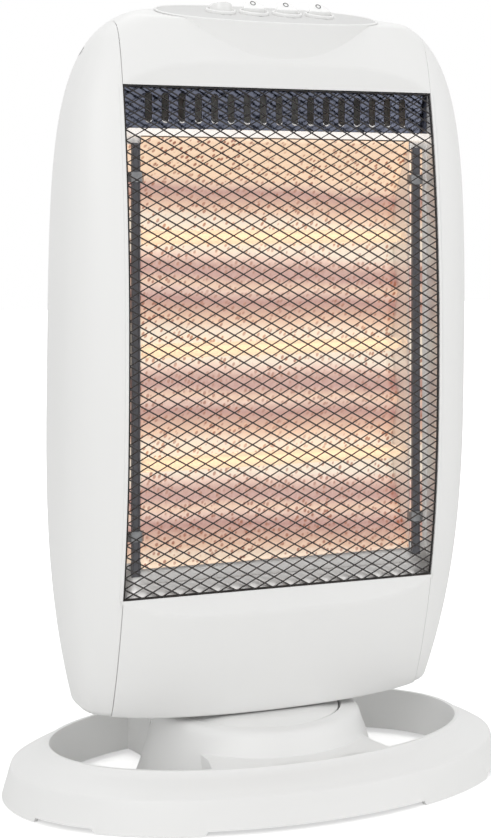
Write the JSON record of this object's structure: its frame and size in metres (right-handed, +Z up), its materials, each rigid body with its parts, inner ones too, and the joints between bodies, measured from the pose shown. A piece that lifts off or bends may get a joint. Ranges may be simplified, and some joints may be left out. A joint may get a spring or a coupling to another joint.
{
  "type": "halogen heater",
  "caption": "Upright white halogen heater: glowing tubes in a hammered reflector behind a diamond net, with round rocker switches on top, on an oval stand on which the head swings.",
  "frame": {"origin": "on the floor under the swing axis, at the middle of the stand", "axes": "+Z up along the swing axis, +X to the right seen from the front, +Y to the rear, so that the net looks along -Y"},
  "size_m": [0.37, 0.2346, 0.5521],
  "materials": {
    "white_abs": "satin white ABS, moulded",
    "white_enamel": "white enamel on sheet",
    "net_wire": "black baked paint on expanded steel, slightly glossy",
    "reflector_sheet": "hammered bright aluminium",
    "sheet_steel": "galvanised sheet steel",
    "dark_metal": "dark glossy painted sheet",
    "quartz": "quartz tube, glowing warm white",
    "ceramic": "unglazed steatite",
    "grey_plastic": "grey nylon",
    "black_plastic": "black nylon",
    "screw_steel": "zinc-plated steel"
  },
  "bodies": {
    "base": {"stand": "white_abs", "hub_bottom_cover": "white_abs", "swing_fork": "grey_plastic", "thrust_washer": "grey_plastic"},
    "head": {"cable_gland": "black_plastic", "control_plate": "white_abs", "front_bottom_panel": "white_abs", "front_grille": "net_wire", "halogen_tube_1": "quartz", "halogen_tube_2": "quartz", "halogen_tube_3": "quartz", "head_floor_plate": "white_abs", "heat_shield": "sheet_steel", "left_shoulder_screw": "screw_steel", "left_side_shell": "white_abs", "left_side_strip": "dark_metal", "left_tube_bracket": "sheet_steel", "left_tube_cap_1": "ceramic", "left_tube_cap_2": "ceramic", "left_tube_cap_3": "ceramic", "louvre_strip": "dark_metal", "pivot_retainer": "sheet_steel", "rear_cover": "white_abs", "rear_screw_left_1": "screw_steel", "rear_screw_left_2": "screw_steel", "rear_screw_right_1": "screw_steel", "rear_screw_right_2": "screw_steel", "reflector": "reflector_sheet", "right_shoulder_screw": "screw_steel", "right_side_shell": "white_abs", "right_side_strip": "dark_metal", "right_tube_bracket": "sheet_steel", "right_tube_cap_1": "ceramic", "right_tube_cap_2": "ceramic", "right_tube_cap_3": "ceramic", "swing_motor": "sheet_steel", "switch_body_1": "white_abs", "switch_body_2": "white_abs", "switch_body_3": "white_abs", "switch_body_4": "white_abs", "terminal_block": "grey_plastic", "thermal_cutout": "grey_plastic", "tilt_switch": "black_plastic", "top_cover": "white_abs", "turntable": "white_abs", "upper_shelf": "white_enamel"},
    "crank": {"swing_crank": "black_plastic"},
    "rocker_1": {"rocker_1": "white_abs"},
    "rocker_2": {"rocker_2": "white_abs"},
    "rocker_3": {"rocker_3": "white_abs"},
    "rocker_4": {"rocker_4": "white_abs"}
  },
  "joints": [
    {"name": "head_swing", "type": "hinge", "parent": "base", "child": "head", "pos_m": [0, 0, 0.047], "axis": [0, 0, 1], "range_deg": [-35, 35]},
    {"name": "crank_turn", "type": "hinge", "parent": "head", "child": "crank", "pos_m": [0, 0.027, 0.0441], "axis": [0, 0, 1], "range_deg": [-105, 105]},
    {"name": "rocker_1_tilt", "type": "hinge", "parent": "head", "child": "rocker_1", "pos_m": [-0.0344, -0.01528, 0.54405], "axis": [1, 0, 0], "range_deg": [0, 24]},
    {"name": "rocker_2_tilt", "type": "hinge", "parent": "head", "child": "rocker_2", "pos_m": [-0.009, -0.01528, 0.54405], "axis": [1, 0, 0], "range_deg": [-24, 0]},
    {"name": "rocker_3_tilt", "type": "hinge", "parent": "head", "child": "rocker_3", "pos_m": [0.0164, -0.01528, 0.54405], "axis": [1, 0, 0], "range_deg": [-24, 0]},
    {"name": "rocker_4_tilt", "type": "hinge", "parent": "head", "child": "rocker_4", "pos_m": [0.0418, -0.01528, 0.54405], "axis": [1, 0, 0], "range_deg": [-24, 0]}
  ],
  "couplings": [
    {"joint": "crank_turn", "follows": "head_swing", "ratio": -3}
  ]
}
